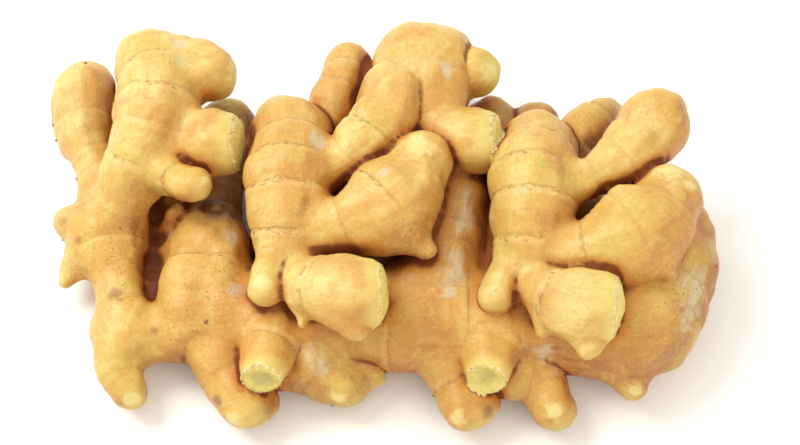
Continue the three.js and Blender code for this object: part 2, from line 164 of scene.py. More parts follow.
# Places on the skin that differ, as x, y, z and size in mm.
skinSpots = {
    "dry": [
        (29, 12, 39, 7), (25, 24, 40, 6), (30, 2, 38, 7), (24, -20, 37, 6), (107, -24, 36, 8),
        (105, -34, 34, 7), (0, 7, 60, 3), (-24, 25, 53, 4), (24, -12, 36, 5), (27, -1, 37, 5),
        (22, -24, 36, 5), (106, -29, 35, 6),
        (108, -20, 36, 5), (104, -38, 32, 4), (-73, 57, 55, 4), (-75, 65, 54, 4), (-26, -45, 26, 5),
        (-22, -50, 23, 4), (22, 56, 52, 4), (-54, -2, 30, 4), (-51, -24, 32, 4), (55, -45, 26, 4),
        (61, -49, 20, 4), (-77, 5, 21, 3), (46, 2, 57, 3),
    ],
    "fresh": [
        (11, 22, 55, 7), (16, 20, 54, 5), (99, 10, 56, 7), (104, 5, 56, 4), (-88, -59, 17, 5),
        (-53, -66, 17, 4),
        (25, -66, 18, 4), (-58, 59, 47, 5), (38, 59, 45, 5), (-6, 19, 51, 3.5), (82, 10, 48, 3.5),
        (-16, -58, 16, 4), (58, -64, 19, 4), (-42, -28, 46, 4), (38, -27, 40, 4), (-63, 11, 49, 3),
        (87, -55, 18, 4),
    ],
    "freckled": [
        (-95, -6, 28, 17), (-88, -20, 26, 12), (-60, -22, 32, 12), (-74, -34, 30, 12), (-55, 8, 26, 10),
        (-30, 10, 50, 8), (100, -30, 34, 12), (8, -16, 52, 10),
    ],
    "weathered": [(-42.4, -56, 27, 5), (34.6, -56, 27, 5)],
    # painted shade: the deep slit between the fingers at the left, painted near black
    "paintedSlitSpots": [(-84, -4, 17, 5), (-83, -10, 17, 5), (-83, -17, 18, 5), (-83, -21, 19, 4), (-82, 4, 18, 4),
             (-64, 13, 27, 4)],
    "bruise": [
        (101, 23, 45, 2), (-108, 13, 28, 2), (-117, 9, 22, 3), (-110, 0, 25, 2.5), (-95, -22, 25, 3.5),
        (-93, -25, 27, 2), (-58, -59, 17, 2.5), (-61, 9, 29, 4), (-81, -36, 25, 2.5), (-50, -57, 22, 2),
        (-40, -62, 15, 4), (36, -63, 17, 4), (-76, 10, 26, 2.5), (-91, -8, 25, 1.6), (-87, -24, 24, 1.6),
    ],
}


def throughPoints(points, each):
    # a smooth line through the points, with `each` pieces between two of them
    ends = np.vstack([2 * points[0] - points[1], points, 2 * points[-1] - points[-2]])
    line = []
    for k in range(len(points) - 1):
        a, b, c, d = ends[k:k + 4]
        for t in np.arange(each) / each:
            line.append(0.5 * (2 * b + (c - a) * t + (2 * a - 5 * b + 4 * c - d) * t * t
                               + (3 * b - a - 3 * c + d) * t ** 3))
    return np.array(line + [points[-1]])


def girthAt(girth, share):
    # the same smooth radius curve as the part's: even stations, ends held
    place = share * (len(girth) - 1)
    low = np.minimum(place.astype(int), len(girth) - 1)
    t = place - low
    g = np.array([girth[0]] + list(girth) + [girth[-1]] * 2, float)
    a, b, c, d = g[low], g[low + 1], g[low + 2], g[np.minimum(low + 3, len(g) - 1)]
    inSlope, outSlope = (c - a) / 2, (d - b) / 2
    return (2 * b - 2 * c + inSlope + outSlope) * t ** 3 + (3 * c - 3 * b - 2 * inSlope - outSlope) * t * t \
        + inSlope * t + b


def alongFinger(finger, kind, reach):
    # the finger's centre line, tangents or sides at lengths along it
    return np.stack([np.interp(reach, finger["along"], finger[kind][:, k]) for k in range(3)], axis=-1)


def growFinger(row, grown):
    name, parent, at, heading, rise, bow, dip, length, girth, scars = row
    if parent is None:
        start = np.array(at, float)
    else:
        host = grown[parent]
        start = alongFinger(host, "line", at * host["length"])
    points = [start]
    for k in range(5):
        turn = math.radians(heading + bow * (k + 0.5) / 5)
        lift = math.radians(rise + dip * (k + 0.5) / 5)
        step = np.array([math.cos(lift) * math.cos(turn), math.cos(lift) * math.sin(turn), math.sin(lift)])
        points.append(points[-1] + step * length / 5)
    line = throughPoints(np.array(points), 4)
    pieces = np.diff(line, axis=0)
    along = np.r_[0, np.cumsum(np.linalg.norm(pieces, axis=1))]
    tangents = np.gradient(line, axis=0)
    tangents /= np.linalg.norm(tangents, axis=1)[:, None]
    side = np.cross(tangents[0], (0.2, 0.3, 1.0))
    sides = []
    for tangent in tangents:
        side = side - tangent * (side @ tangent)
        side = side / np.linalg.norm(side)
        sides.append(side)
    reach = along[-1]
    stops = np.linspace(0, reach, int(reach / 0.2) + 2)
    radius = girthAt(girth, stops / reach)
    marks = np.array(scars) * reach
    r = gingerRoot
    if len(marks):
        fences = np.r_[marks[0] - 14, marks, reach + max(girth[-1], 6)]
        phase = np.interp(stops, fences, np.arange(len(fences)))
        swell = np.sin(np.pi * (phase % 1)) ** 2 * np.clip((stops - fences[0]) / 10, 0, 1)
        radius = radius * (1 + r["belly"] * (swell - 0.4))
        for mark in marks:
            radius = radius - r["scarDepth"] * np.exp(-((stops - mark) / r["scarWidth"]) ** 2)
            radius = radius + r["sheathLip"] * np.exp(-((stops - mark + 1.7) / 1.1) ** 2)
    return {
        "name": name, "parent": parent, "line": line, "along": along, "length": reach, "tangents": tangents,
        "sides": np.array(sides), "stops": stops, "radius": radius, "marks": marks,
        "blend": r["blendShare"] * float(np.mean(girth[:2])) + 1.0, "snap": r["snapped"].get(name),
        "widest": float(radius.max()) + 0.5, "tipRadius": float(girth[-1]),
    }


def nearestOn(finger, points):
    # distance to the centre line, and how far along it the nearest place is
    best = np.full(len(points), 1e9)
    along = np.zeros(len(points))
    line = finger["line"]
    for k in range(len(line) - 1):
        a, piece = line[k], line[k + 1] - line[k]
        size = piece @ piece
        t = np.clip((points - a) @ piece / size, 0, 1)
        gap = ((points - a - t[:, None] * piece) ** 2).sum(axis=1)
        closer = gap < best
        best[closer] = gap[closer]
        along[closer] = finger["along"][k] + t[closer] * math.sqrt(size)
    return np.sqrt(best), along


def fingerDistance(finger, points):
    # how far outside the finger's skin each point is, and how far past a snapped end
    gap, along = nearestOn(finger, points)
    skin = gap - np.interp(along, finger["stops"], finger["radius"])
    past = np.full(len(points), -50.0)
    if finger["snap"] is not None:
        tip, way = finger["line"][-1], finger["tangents"][-1]
        dome, edge = finger["snap"]
        past = (points - tip) @ way
        spread = np.linalg.norm(points - tip - past[:, None] * way, axis=1) / finger["tipRadius"]
        past = past - dome * np.clip(1 - spread ** 2, 0, 1)
        for bump in gingerRoot["tornFlesh"]:
            past = past + bumps(points, bump)
        skin = -softMin(-skin, -past, edge)
    return skin, along, past


def softMin(a, b, reach):
    # the smaller of two distances, rounded where they come within `reach`
    near = np.clip(reach - np.abs(a - b), 0, None) / reach
    return np.minimum(a, b) - near * near * reach * 0.25


def softNoise(points, size, seed):
    # smooth random values from -1 to 1, one hill about every `size` mm
    table = np.random.RandomState(seed).uniform(-1, 1, 4096)
    spot = points / size
    cell = np.floor(spot).astype(np.int64)
    t = spot - cell
    t = t * t * t * (t * (t * 6 - 15) + 10)
    total = np.zeros(len(points))
    for corner in range(8):
        bits = np.array([corner & 1, corner >> 1 & 1, corner >> 2])
        key = (cell + bits) * np.array([73856093, 19349663, 83492791])
        value = table[(key[:, 0] ^ key[:, 1] ^ key[:, 2]) & 4095]
        total += value * np.prod(np.where(bits, t, 1 - t), axis=1)
    return total


def bumps(points, bump):
    height, size, seed = bump
    return height * softNoise(points, size, seed)


def growAll():
    grown = {}
    for row in [gingerRoot["mother"]] + gingerRoot["fingers"]:
        grown[row[0]] = growFinger(row, grown)
    return grown


def fingerBox(finger, margin):
    reach = finger["widest"] + margin
    return finger["line"].min(axis=0) - reach, finger["line"].max(axis=0) + reach


def fillField(grown):
    # the whole root's distance field on a grid, each finger softened into its parent
    cell = gingerRoot["cell"]
    boxes = {name: fingerBox(f, f["blend"] + gingerRoot["boxMargin"]) for name, f in grown.items()}
    low = np.min([b[0] for b in boxes.values()], axis=0) - 2 * cell
    high = np.max([b[1] for b in boxes.values()], axis=0) + 2 * cell
    shape = np.ceil((high - low) / cell).astype(int) + 1
    field = np.full(shape, gingerRoot["emptyDistance"])
    stored = {}
    for name, finger in grown.items():
        a = np.floor((boxes[name][0] - low) / cell).astype(int)
        b = np.ceil((boxes[name][1] - low) / cell).astype(int) + 1
        axes = [low[k] + cell * np.arange(a[k], b[k]) for k in range(3)]
        points = np.stack(np.meshgrid(*axes, indexing="ij"), axis=-1).reshape(-1, 3)
        skin = fingerDistance(finger, points)[0].reshape(b - a)
        stored[name] = (a, b, skin)
        joined = skin.copy()
        if finger["parent"]:
            pa, pb, parentSkin = stored[finger["parent"]]
            ca, cb = np.maximum(a, pa), np.minimum(b, pb)
            if (cb > ca).all():
                mine = tuple(slice(*s) for s in zip(ca - a, cb - a))
                theirs = tuple(slice(*s) for s in zip(ca - pa, cb - pa))
                joined[mine] = softMin(skin[mine], parentSkin[theirs], finger["blend"])
        place = tuple(slice(*s) for s in zip(a, b))
        field[place] = np.minimum(field[place], joined)
    heights = low[2] + cell * np.arange(shape[2])
    above = np.broadcast_to(heights - gingerRoot["restLevel"], shape)
    field = -softMin(-field, above, gingerRoot["restRounding"])
    return field, low


def boxBlur(values, reach):
    for axis in range(3):
        size = values.shape[axis]
        total = np.concatenate([np.zeros_like(np.take(values, [0], axis)), np.cumsum(values, axis)], axis)
        high = np.minimum(np.arange(size) + reach + 1, size)
        low = np.maximum(np.arange(size) - reach, 0)
        shape = [1, 1, 1]
        shape[axis] = size
        values = (np.take(total, high, axis) - np.take(total, low, axis)) / (high - low).reshape(shape)
    return values


def sampleGrid(values, low, points):
    spot = (points - low) / gingerRoot["cell"]
    cell = np.clip(np.floor(spot).astype(int), 0, np.array(values.shape) - 2)
    t = spot - cell
    total = np.zeros(len(points))
    for corner in range(8):
        bits = np.array([corner & 1, corner >> 1 & 1, corner >> 2])
        c = cell + bits
        total += values[c[:, 0], c[:, 1], c[:, 2]] * np.prod(np.where(bits, t, 1 - t), axis=1)
    return total


def openness(field, low, points, normals):
    # 0 in the open, 1 where other skin stands close in front: read at three heights above the skin
    closed = np.zeros(len(points))
    for reach in gingerRoot["shadeReach"]:
        gap = sampleGrid(field, low, points + normals * reach)
        closed += np.clip((reach - gap) / reach, 0, 1.2)
    return np.clip(closed / len(gingerRoot["shadeReach"]), 0, 1)


def largestIsland(points, quads):
    # bubbles shut in between fingers are left out
    label = np.arange(len(points))
    while True:
        low = label[quads].min(axis=1)
        new = label.copy()
        for k in range(4):
            np.minimum.at(new, quads[:, k], low)
        new = new[new]
        if (new == label).all():
            break
        label = new
    names, counts = np.unique(label, return_counts=True)
    kept = label == names[counts.argmax()]
    renumber = np.cumsum(kept) - 1
    return points[kept], renumber[quads[kept[quads[:, 0]]]]


def vertexNormals(points, quads):
    a, b, c, d = (points[quads[:, k]] for k in range(4))
    flat = np.cross(c - a, d - b)
    normals = np.zeros_like(points)
    for k in range(4):
        np.add.at(normals, quads[:, k], flat)
    return normals / np.maximum(np.linalg.norm(normals, axis=1), 1e-9)[:, None]


def neighbourMean(points, quads):
    total = np.zeros_like(points)
    count = np.zeros(len(points))
    for k in range(4):
        np.add.at(total, quads[:, k], points[quads[:, (k + 1) % 4]])
        np.add.at(total, quads[:, (k + 1) % 4], points[quads[:, k]])
        np.add.at(count, quads[:, k], 1)
        np.add.at(count, quads[:, (k + 1) % 4], 1)
    return total / count[:, None]


def exactDistance(grown, points):
    # the field at any points, the same mixing as on the grid
    result = np.full(len(points), gingerRoot["emptyDistance"])
    stored = {}
    for name, finger in grown.items():
        low, high = fingerBox(finger, finger["blend"] + gingerRoot["boxMargin"])
        inside = ((points > low) & (points < high)).all(axis=1)
        skin = np.full(len(points), 50.0)
        if inside.any():
            skin[inside] = fingerDistance(finger, points[inside])[0]
        stored[name] = skin
        joined = skin
        if finger["parent"]:
            joined = np.where(inside, softMin(skin, stored[finger["parent"]], finger["blend"]), 50.0)
        result = np.minimum(result, joined)
    level = points[:, 2] - gingerRoot["restLevel"]
    return -softMin(-result, level, gingerRoot["restRounding"])


def readSkin(grown, points):
    # what the material needs to know at each point: place along the finger, nearest scar, tone and so on
    count = len(points)
    nearest = np.full(count, 1e9)
    second = np.full(count, 1e9)
    local = np.zeros((count, 3))
    growWay = np.zeros((count, 3))
    scarGap = np.full(count, 9.0)
    snapped = np.zeros(count)
    rim = np.full(count, 9.0)
    ribbed = np.zeros(count)
    owner = np.zeros(count, int)
    gaps = np.full((len(grown), count), 30.0, np.float32)
    toneSum, tipSum, weightSum = np.zeros(count), np.zeros(count), np.zeros(count) + 1e-9
    for order, (name, finger) in enumerate(grown.items()):
        low, high = fingerBox(finger, gingerRoot["markMargin"])
        here = np.where(((points > low) & (points < high)).all(axis=1))[0]
        if not len(here):
            continue
        p = points[here]
        skin, along, past = fingerDistance(finger, p)
        weight = np.exp(-np.clip(skin, 0, None) / 1.2)
        toneSum[here] += weight * toneOf(name)
        tipRadius = finger["tipRadius"]
        tip = np.clip((along - finger["length"] + 0.55 * tipRadius) / (0.9 * tipRadius), 0, 1)
        ahead = np.clip(((p - finger["line"][-1]) @ finger["tangents"][-1]) / tipRadius, 0, 1)
        tipSum[here] += weight * (0.45 * tip + 0.55 * ahead)
        weightSum[here] += weight
        gaps[order, here] = skin
        closer = skin < nearest[here]
        second[here] = np.where(closer, nearest[here], np.minimum(second[here], skin))
        mine = here[closer]
        nearest[mine] = skin[closer]
        owner[mine] = order
        s = along[closer]
        centre, way, side = (alongFinger(finger, kind, s) for kind in ("line", "tangents", "sides"))
        off = p[closer] - centre
        beyond = (off * way).sum(axis=1)
        across = [(off * side).sum(axis=1), (off * np.cross(way, side)).sum(axis=1)]
        local[mine] = np.stack([s + beyond] + across, axis=1)
        local[mine] += np.array([37.0, 11.0, 23.0]) * order
        growWay[mine] = way
        scarGap[mine] = 9.0
        ribbed[mine] = 0.0
        if len(finger["marks"]):
            ahead = (s + beyond)[:, None] - finger["marks"][None]
            first = np.abs(ahead).argmin(axis=1)
            scarGap[mine] = ahead[np.arange(len(s)), first]
            ribbed[mine] = scarStrength(name)[first]
        snapped[mine] = 0.0
        rim[mine] = 9.0
        if finger["snap"] is not None:
            rim[mine] = -past[closer]
            snapped[mine] = np.clip(1.0 - np.abs(past[closer]) / 0.9, 0, 1)
            ribbed[mine] *= np.clip(-past[closer] / 4.0, 0, 1)
    clear = np.clip((second - nearest - 0.6) / 2.0, 0, 1)
    # how near the closest finger is that this one neither grows from nor carries
    names = list(grown)
    for order, finger in enumerate(grown.values()):
        kin = [k for k, name in enumerate(names) if grown[name]["parent"] == names[order]]
        kin += [order] + ([names.index(finger["parent"])] if finger["parent"] else [])
        if names[order] in gingerRoot["merged"]:
            kin += [names.index(name) for name in gingerRoot["merged"]]
        mine = np.where(owner == order)[0]
        gaps[np.ix_(kin, mine)] = 30.0
    touch = np.clip(gaps.min(axis=0), 0, 12)
    return {
        "touch": touch,
        "straight": local / 1000, "growWay": growWay, "scarGap": np.clip(scarGap, -9, 9), "snapped": snapped,
        "rim": rim, "toneAndShade": toneSum / weightSum, "tip": tipSum / weightSum, "clear": clear * ribbed,
    }


def scarStrength(name):
    # how plainly each leaf scar of a finger shows: the ribbed fingers most
    fade = np.random.RandomState(sum(map(ord, name))).uniform(0.1, 0.75, 8)
    return np.clip(fade + (0.35 if name.startswith("ribs") else 0.0), 0, 1)


def skinMesh():
    grown = growAll()
    field, low = fillField(grown)
    print("field filled", field.shape)
    grid = openvdb.FloatGrid(gingerRoot["emptyDistance"])
    grid.copyFromArray(field.astype(np.float32))
    points, quads = grid.convertToQuads(isovalue=0.0)
    points, quads = largestIsland(points.astype(float) * gingerRoot["cell"] + low, quads.astype(int))
    print("skin drawn", len(points), "points", len(quads), "faces")
    full = 1 / (1 + np.exp(np.clip(field / 0.6, -30, 30)))
    crease = boxBlur(boxBlur(full, 2), 2)
    hollow = boxBlur(boxBlur(full, 6), 5)
    for turn in range(2):
        normals = vertexNormals(points, quads)
        points = points - normals * np.clip(exactDistance(grown, points), -1.0, 1.0)[:, None]
        if turn == 0:
            points = points + 0.5 * (neighbourMean(points, quads) - points)
    marks = readSkin(grown, points)
    marks["crease"] = np.clip((sampleGrid(crease, low, points) - 0.5) * 4.0, -1, 1)
    # hollow and shade say how closed in each place is; the material paints shade in the creases from them
    marks["hollow"] = np.clip((sampleGrid(hollow, low, points) - 0.45) * 2.5, 0, 1)
    marks["shade"] = openness(field, low, points, vertexNormals(points, quads))
    # no pale specks in the painted slit shade: a point takes the darker of its own and its neighbours' mean
    for turn in range(gingerRoot["slitTurns"]):
        touch, shade = (neighbourMean(marks[name][:, None], quads)[:, 0] for name in ("touch", "shade"))
        marks["touch"] = np.minimum(marks["touch"], touch)
        marks["shade"] = np.maximum(marks["shade"], shade)
    pinch = np.clip(marks["crease"] * 2.0, 0, 0.8)[:, None]
    for turn in range(gingerRoot["pinchTurns"]):
        points = points + pinch * 0.5 * (neighbourMean(points, quads) - points)
    r = gingerRoot
    lift = bumps(points, r["lumps"])
    lift = lift + bumps(points, r["knolls"])
    lift = lift + bumps(points, r["dimples"]) * (1 - marks["snapped"])
    furrow = softNoise(marks["straight"] * np.array(r["furrowStretch"]), 1.0, r["furrowSeed"])
    lift = lift - r["furrowHeight"] * np.abs(furrow) * (1 - marks["snapped"])
    lift = lift * np.clip((points[:, 2] - r["restLevel"]) / 4.0, 0, 1)
    for name, spots in skinSpots.items():
        marks[name] = np.zeros(len(points))
        for x, y, z, size in spots:
            away = np.linalg.norm(points - np.array([x, y, z]), axis=1) / size
            marks[name] = np.maximum(marks[name], np.exp(-away ** 2))
    points = points + vertexNormals(points, quads) * lift[:, None]
    marks["outward"] = vertexNormals(points, quads)
    return (points + np.array(r["shift"])) / 1000, quads, marks


def addAttribute(mesh, name, values):
    kind = "FLOAT_VECTOR" if values.ndim == 2 else "FLOAT"
    layer = mesh.attributes.new(name, kind, "POINT")
    values = np.ascontiguousarray(values, np.float32)
    layer.data.foreach_set("vector" if values.ndim == 2 else "value", values.ravel())


def makeBody(points, quads, marks):
    mesh = bpy.data.meshes.new("rhizomeSkin")
    mesh.vertices.add(len(points))
    mesh.vertices.foreach_set("co", points.astype(np.float32).ravel())
    mesh.loops.add(quads.size)
    mesh.loops.foreach_set("vertex_index", quads.astype(np.int32).ravel())
    mesh.polygons.add(len(quads))
    mesh.polygons.foreach_set("loop_start", np.arange(0, quads.size, 4, dtype=np.int32))
    mesh.update(calc_edges=True)
    mesh.validate()
    mesh.shade_smooth()
    for name, values in marks.items():
        addAttribute(mesh, name, values)
    body = bpy.data.objects.new("rhizomeSkin", mesh)
    bpy.context.scene.collection.objects.link(body)
    return body


skinPoints, skinQuads, skinMarks = skinMesh()
body = makeBody(skinPoints, skinQuads, skinMarks)
print("body made", len(body.data.polygons))

skinLook = {
    "brown": (0.32, 0.112, 0.022), "tan": (0.49, 0.23, 0.052), "gold": (0.575, 0.34, 0.075),
    "pale": (0.69, 0.54, 0.195), "peach": (0.54, 0.25, 0.052), "green": (0.55, 0.455, 0.10),
    # painted shade colours: the halo and core for creases and fingers in shadow, the darkest for the slits
    "paintedShadeHalo": (0.51, 0.175, 0.024), "paintedShadeCore": (0.165, 0.032, 0.004), "paintedSlitShade": (0.09, 0.015, 0.003),
    "scarLine": (0.34, 0.145, 0.035), "sheath": (0.744, 0.521, 0.223), "tip": (0.67, 0.56, 0.16),
    "flesh": (0.69, 0.58, 0.17), "fleshDark": (0.539, 0.344, 0.084), "rimPale": (0.80, 0.64, 0.34),
    "freckle": (0.20, 0.08, 0.025), "paper": (0.55, 0.50, 0.36), "fresh": (0.72, 0.65, 0.28),
    "bruise": (0.22, 0.085, 0.03), "weathered": (0.40, 0.335, 0.12),
    "roughness": 0.44, "specular": 0.26, "coat": 0.15, "coatRoughness": 0.32, "subsurface": 0.10,
    "subsurfaceScale": 0.003, "subsurfaceRadius": (1.0, 0.45, 0.15), "bump": 0.45, "bumpDistance": 0.0007,
    # painted light: the way the key light comes from; the side of the skin facing it is painted paler
    "paintedLightWay": (-0.5, 0.1, 0.86),
}
# How fine each pattern is, per metre. Those with three numbers run along the finger.
skinPattern = {
    "cloud": 45.0, "patch": 85.0, "blotch": 230.0, "grain": 800.0, "warm": 32.0, "rosy": 130.0, "flaky": 75.0,
    "scarBreaks": 130.0, "freckles": 620.0, "fibre": (90.0, 900.0, 900.0), "hair": (260.0, 2600.0, 2600.0),
    "hoop": (1400.0, 120.0, 120.0), "wander": (60.0, 160.0, 160.0), "streaky": (55.0, 420.0, 420.0),
    "dots": (200.0, 700.0, 700.0),
}


class Nodes:
    # short hand for building a node tree
    def __init__(self, tree):
        self.tree = tree

    def add(self, kind, inputs={}, **values):
        node = self.tree.nodes.new(kind)
        for name, value in values.items():
            setattr(node, name, value)
        self.fill(node, inputs)
        return node

    def fill(self, node, inputs):
        # each input gets a link or its own value
        for name, value in inputs.items():
            socket = node.inputs[name]
            if isinstance(value, bpy.types.NodeSocket):
                self.tree.links.new(value, socket)
            elif isinstance(value, tuple) and len(value) == 3 and socket.type == "RGBA":
                socket.default_value = (*value, 1.0)
            else:
                socket.default_value = value

    def math(self, operation, a, b=0.0, c=0.5, clamp=False):
        return self.add("ShaderNodeMath", {0: a, 1: b, 2: c}, operation=operation, use_clamp=clamp).outputs[0]

    def ramp(self, value, low, high):
        inputs = {"Value": value, "From Min": low, "From Max": high}
        return self.add("ShaderNodeMapRange", inputs, interpolation_type="SMOOTHSTEP", clamp=True).outputs[0]

    def part(self, value, low, high, amount):
        # the ramp, but only up to `amount`
        return self.math("MULTIPLY", self.ramp(value, low, high), amount)

    def swing(self, value, width):
        # 0 to 1 made to swing evenly about 0
        return self.math("MULTIPLY_ADD", value, width, -width / 2)

    def mix(self, share, a, b):
        return self.add("ShaderNodeMix", {0: share, 6: a, 7: b}, data_type="RGBA").outputs[2]

    def noise(self, vector, scale, detail=2.0, roughness=0.5, distortion=0.0):
        return self.add("ShaderNodeTexNoise", {
            "Vector": vector, "Scale": scale, "Detail": detail,
            "Roughness": roughness, "Distortion": distortion,
        }).outputs[0]

    def stretch(self, vector, scale):
        return self.add("ShaderNodeVectorMath", {0: vector, 1: scale}, operation="MULTIPLY").outputs[0]

    def attribute(self, name, vector=False):
        node = self.add("ShaderNodeAttribute", attribute_name=name)
        return node.outputs["Vector" if vector else "Fac"]


def mottleGroup():
    # cloudy, patchy and grainy values every finish of the root shares
    group = bpy.data.node_groups.new("skinMottle", "ShaderNodeTree")
    group.interface.new_socket("Place", in_out="INPUT", socket_type="NodeSocketVector")
    for name in ("Cloud", "Patch", "Blotch", "Grain"):
        group.interface.new_socket(name, in_out="OUTPUT", socket_type="NodeSocketFloat")
    n = Nodes(group)
    place = n.add("NodeGroupInput").outputs["Place"]
    n.add("NodeGroupOutput", {
        "Cloud": n.noise(place, skinPattern["cloud"], 3.0, 0.55),
        "Patch": n.noise(place, skinPattern["patch"], 4.0, 0.6, 0.4),
        "Blotch": n.noise(place, skinPattern["blotch"], 3.0, 0.6, 0.8),
        "Grain": n.noise(place, skinPattern["grain"], 3.0, 0.6),
    })
    return group


skinMottle = mottleGroup()


def skinMaterial():
    look = skinLook
    material = bpy.data.materials.new("gingerSkin")
    material.use_nodes = True
    n = Nodes(material.node_tree)
    bsdf = material.node_tree.nodes["Principled BSDF"]
    place = n.add("ShaderNodeTexCoord").outputs["Object"]
    straight = n.attribute("straight", vector=True)
    names = ("toneAndShade", "tip", "hollow", "scarGap", "clear", "snapped", "rim", "dry", "fresh", "bruise", "touch",
             "freckled", "shade", "weathered", "paintedSlitSpots")
    (toneAndShade, tip, hollow, scarGap, clear, snapped, rim, dry, fresh, bruise, touch,
     freckled, shade, weathered, paintedSlitSpots) = (n.attribute(name) for name in names)
    outward = n.attribute("outward", vector=True)
    # painted light: how far each place faces the side the key light comes from
    litSideFacing = n.add("ShaderNodeVectorMath", {0: outward, 1: look["paintedLightWay"]}, operation="DOT_PRODUCT")
    paintedLightShare = litSideFacing.outputs["Value"]

    mottle = n.add("ShaderNodeGroup", node_tree=skinMottle)
    n.fill(mottle, {"Place": place})
    cloud, patch, blotch, grain = (mottle.outputs[name] for name in ("Cloud", "Patch", "Blotch", "Grain"))
    fibre = n.noise(n.stretch(straight, skinPattern["fibre"]), 1.0, 3.0, 0.6)
    hair = n.noise(n.stretch(straight, skinPattern["hair"]), 1.0, 2.0, 0.5)
    hoop = n.noise(n.stretch(straight, skinPattern["hoop"]), 1.0, 2.0, 0.5)

    def over(mask, name):
        # one more layer of colour where the mask is
        nonlocal colour
        colour = n.mix(mask, colour, look[name])

    # ground colour: brown to pale by tone, moved about by clouds; painted light makes the side facing the key
    # light paler and the side away from it browner
    level = n.math("ADD", toneAndShade, n.swing(cloud, 1.5))
    level = n.math("ADD", level, n.swing(patch, 0.9))
    level = n.math("ADD", level, n.swing(blotch, 0.9))
    level = n.math("ADD", level, n.math("MULTIPLY_ADD", n.ramp(paintedLightShare, -0.2, 1.0), 1.0, -0.6))
    colour = n.mix(n.ramp(level, -1.0, -0.3), look["brown"], look["tan"])
    over(n.ramp(level, -0.45, 0.25), "gold")
    over(n.ramp(level, 0.15, 1.1), "pale")
    # painted shade: tones far below zero take the shade colours, for fingers that lie in shadow
    over(n.part(level, -1.1, -2.0, 0.8), "paintedShadeCore")
    over(n.part(level, -2.2, -3.0, 0.85), "paintedSlitShade")
    warm = n.noise(place, skinPattern["warm"], 2.0, 0.5, 0.6)
    over(n.part(warm, 0.5, 0.68, 0.55), "peach")
    over(n.part(warm, 0.48, 0.3, 0.5), "green")
    rosy = n.noise(place, skinPattern["rosy"], 3.0, 0.6, 1.2)
    over(n.part(rosy, 0.54, 0.74, 0.5), "peach")
    over(n.part(rosy, 0.44, 0.28, 0.5), "green")
    # streaks that run along the fingers
    over(n.part(fibre, 0.5, 0.72, 0.26), "tan")
    over(n.part(hair, 0.5, 0.7, 0.13), "brown")
    over(n.part(fibre, 0.45, 0.25, 0.2), "pale")
    # a fine mealy grain
    over(n.part(grain, 0.5, 0.7, 0.26), "tan")
    over(n.part(grain, 0.5, 0.3, 0.22), "pale")
    # growing tips are young and pale
    over(n.part(n.math("ADD", tip, n.swing(patch, 0.8)), 0.3, 1.0, 0.55), "tip")
    # leaf scars: a thin brownish line with a pale sheath edge beside it
    wander = n.swing(n.noise(n.stretch(straight, skinPattern["wander"]), 1.0, 3.0, 0.6), 2.4)
    gap = n.math("ADD", scarGap, wander)
    broken = n.ramp(n.noise(place, skinPattern["scarBreaks"], 2.0), 0.32, 0.52)
    line = n.math("MULTIPLY", n.ramp(n.math("ABSOLUTE", gap), 0.55, 0.05), n.math("MULTIPLY", clear, broken))
    sheath = n.math("MULTIPLY", n.ramp(n.math("ABSOLUTE", n.math("ADD", gap, 1.5)), 1.5, 0.2), clear)
    over(n.math("MULTIPLY", sheath, 0.3), "sheath")
    over(n.math("MULTIPLY", line, 0.5), "scarLine")
    # dry papery skin left in thin patches, pale green marks where shoots were, browner bruises
    ragged = n.math("ADD", n.swing(patch, 0.9), n.swing(blotch, 1.3))
    flaky = n.noise(place, skinPattern["flaky"], 5.0, 0.68, 1.0)
    streaky = n.swing(n.noise(n.stretch(straight, skinPattern["streaky"]), 1.0, 3.0, 0.6), 2.4)
    paper = n.math("ADD", n.math("ADD", dry, n.math("MULTIPLY", ragged, 0.6)), streaky)
    paper = n.math("MULTIPLY", n.ramp(paper, 0.35, 1.15), n.part(dry, 0.02, 0.4, 0.6))
    paper = n.math("MAXIMUM", paper, n.part(flaky, 0.64, 0.74, 0.4))
    over(paper, "paper")
    over(n.part(n.math("ADD", fresh, ragged), 0.35, 0.95, 0.62), "fresh")
    over(n.part(n.math("ADD", bruise, ragged), 0.32, 1.05, 0.65), "bruise")
    # freckles
    spots = n.add("ShaderNodeTexVoronoi", {"Vector": place, "Scale": skinPattern["freckles"]}, feature="F1")
    grouped = n.ramp(n.math("MULTIPLY_ADD", freckled, 0.45, cloud), 0.56, 0.8)
    speck = n.math("MULTIPLY", n.ramp(spots.outputs["Distance"], 0.34, 0.14), grouped)
    speck = n.math("MULTIPLY", speck, n.ramp(grain, 0.44, 0.56))
    over(n.math("MULTIPLY", speck, 0.6), "freckle")
    # painted shade: the skin is painted redder towards the places where fingers meet and dark red-brown in
    # them, from how closed in each place is and how near another finger lies; this stands in for the shade
    # that falls there
    shaded = n.math("ADD", shade, n.swing(blotch, 0.3))
    # painted shade: a thin dark line where another finger lies close
    thin = n.ramp(n.math("MULTIPLY_ADD", blotch, 1.4, touch), 2.3, 0.9)
    shadeHalo = n.math("MAXIMUM", n.ramp(shaded, 0.18, 0.7), n.ramp(hollow, 0.25, 0.7))
    shadeCore = n.math("MAXIMUM", n.ramp(shaded, 0.6, 0.95), n.math("MAXIMUM", thin, n.ramp(hollow, 0.55, 0.95)))
    over(n.math("MULTIPLY", shadeHalo, 0.68), "paintedShadeHalo")
    over(n.math("MULTIPLY", shadeCore, 0.94), "paintedShadeCore")
    # painted shade in the listed slit spots
    over(n.part(n.math("MULTIPLY_ADD", ragged, 0.3, paintedSlitSpots), 0.25, 0.75, 0.88), "paintedSlitShade")
